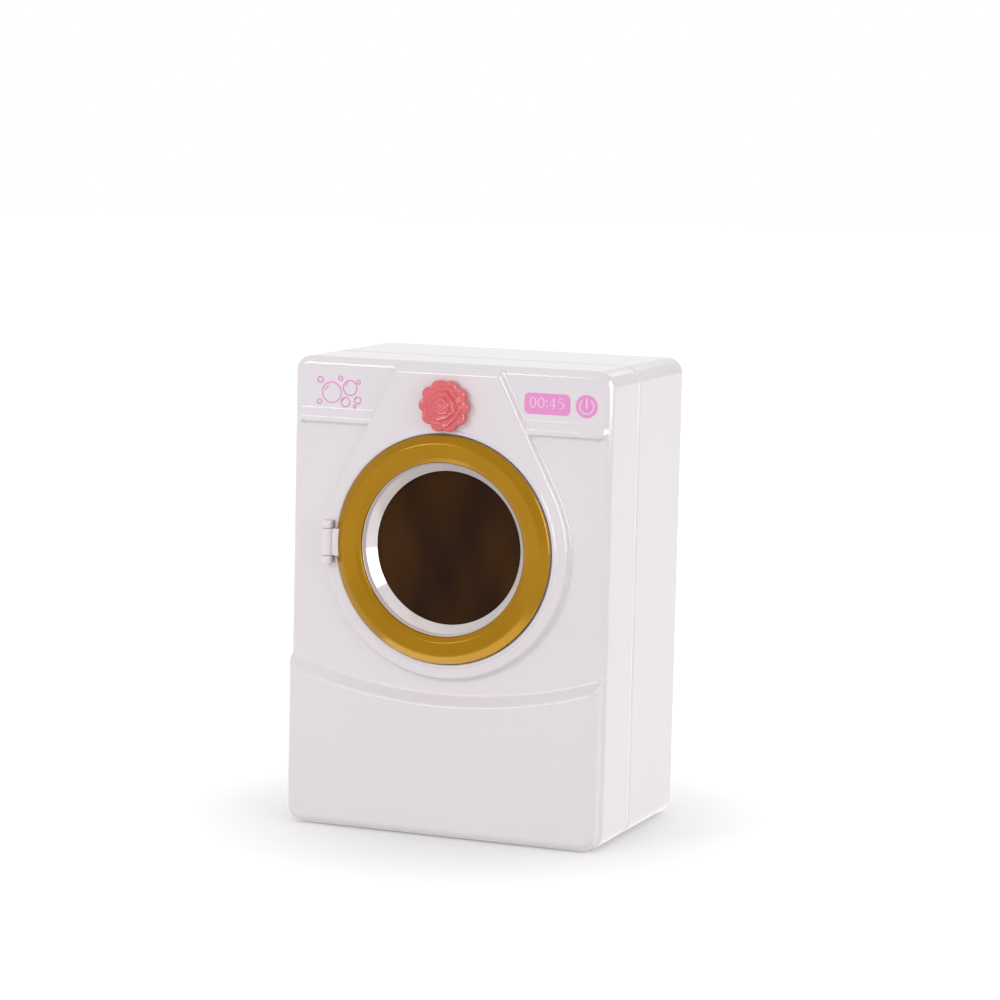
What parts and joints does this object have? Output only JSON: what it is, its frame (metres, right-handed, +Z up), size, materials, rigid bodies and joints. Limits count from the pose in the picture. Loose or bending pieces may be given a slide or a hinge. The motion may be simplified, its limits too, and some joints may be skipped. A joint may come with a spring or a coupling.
{
  "type": "toy washing machine",
  "caption": "Doll-size toy washing machine: moulded case with a hinged round door and smoked window, a hand-spun drum and a turning flower knob.",
  "frame": {"origin": "centre of the whole part's footprint, on the floor that its feet stand on", "axes": "+Z up, -Y out of the front with the door, +X to the right of someone who faces the front"},
  "size_m": [0.194, 0.139, 0.271],
  "materials": {
    "case_plastic": "glossy moulded white plastic with a faint lilac cast",
    "door_plastic": "glossy white plastic",
    "tub_plastic": "satin light grey plastic",
    "drum_plastic": "satin light grey plastic",
    "ring_gold": "glossy gold-coloured plastic",
    "smoked_window": "clear plastic tinted dark brown, polished",
    "knob_coral": "glossy coral plastic",
    "label_print": "printed film label",
    "foot_foam": "closed-cell foam pad",
    "black_rubber": "black rubber",
    "nylon": "natural nylon",
    "screw_steel": "zinc-plated steel",
    "pin_steel": "bright steel",
    "magnet": "nickel-plated magnet"
  },
  "bodies": {
    "case": {"front_shell": "case_plastic", "rear_shell": "case_plastic", "case_screws": "screw_steel", "foot_pads": "foot_foam", "tub": "tub_plastic", "tub_screws": "screw_steel", "drum_bush": "nylon", "strike_plate": "pin_steel", "hinge_pin": "pin_steel", "display_label": "label_print", "power_label": "label_print", "bubbles_label": "label_print"},
    "drum": {"drum": "drum_plastic", "drum_axle": "pin_steel", "drum_washer": "pin_steel", "drum_clip": "pin_steel"},
    "door": {"door_frame": "door_plastic", "door_ring": "ring_gold", "door_window": "smoked_window", "window_retainer": "door_plastic", "door_screws": "screw_steel", "door_magnet": "magnet"},
    "knob": {"knob": "knob_coral", "knob_washer": "pin_steel", "knob_screw": "screw_steel", "friction_ring": "black_rubber"}
  },
  "joints": [
    {"name": "door_hinge", "type": "hinge", "parent": "case", "child": "door", "pos_m": [-0.0705, -0.0633, 0.166], "axis": [0, 0, -1], "range_deg": [0, 160]},
    {"name": "drum_spin", "type": "hinge", "parent": "case", "child": "drum", "pos_m": [0, 0, 0.166], "axis": [0, -1, 0], "continuous": true},
    {"name": "knob_turn", "type": "hinge", "parent": "case", "child": "knob", "pos_m": [0, -0.0595, 0.2477], "axis": [0, -1, 0], "continuous": true}
  ]
}
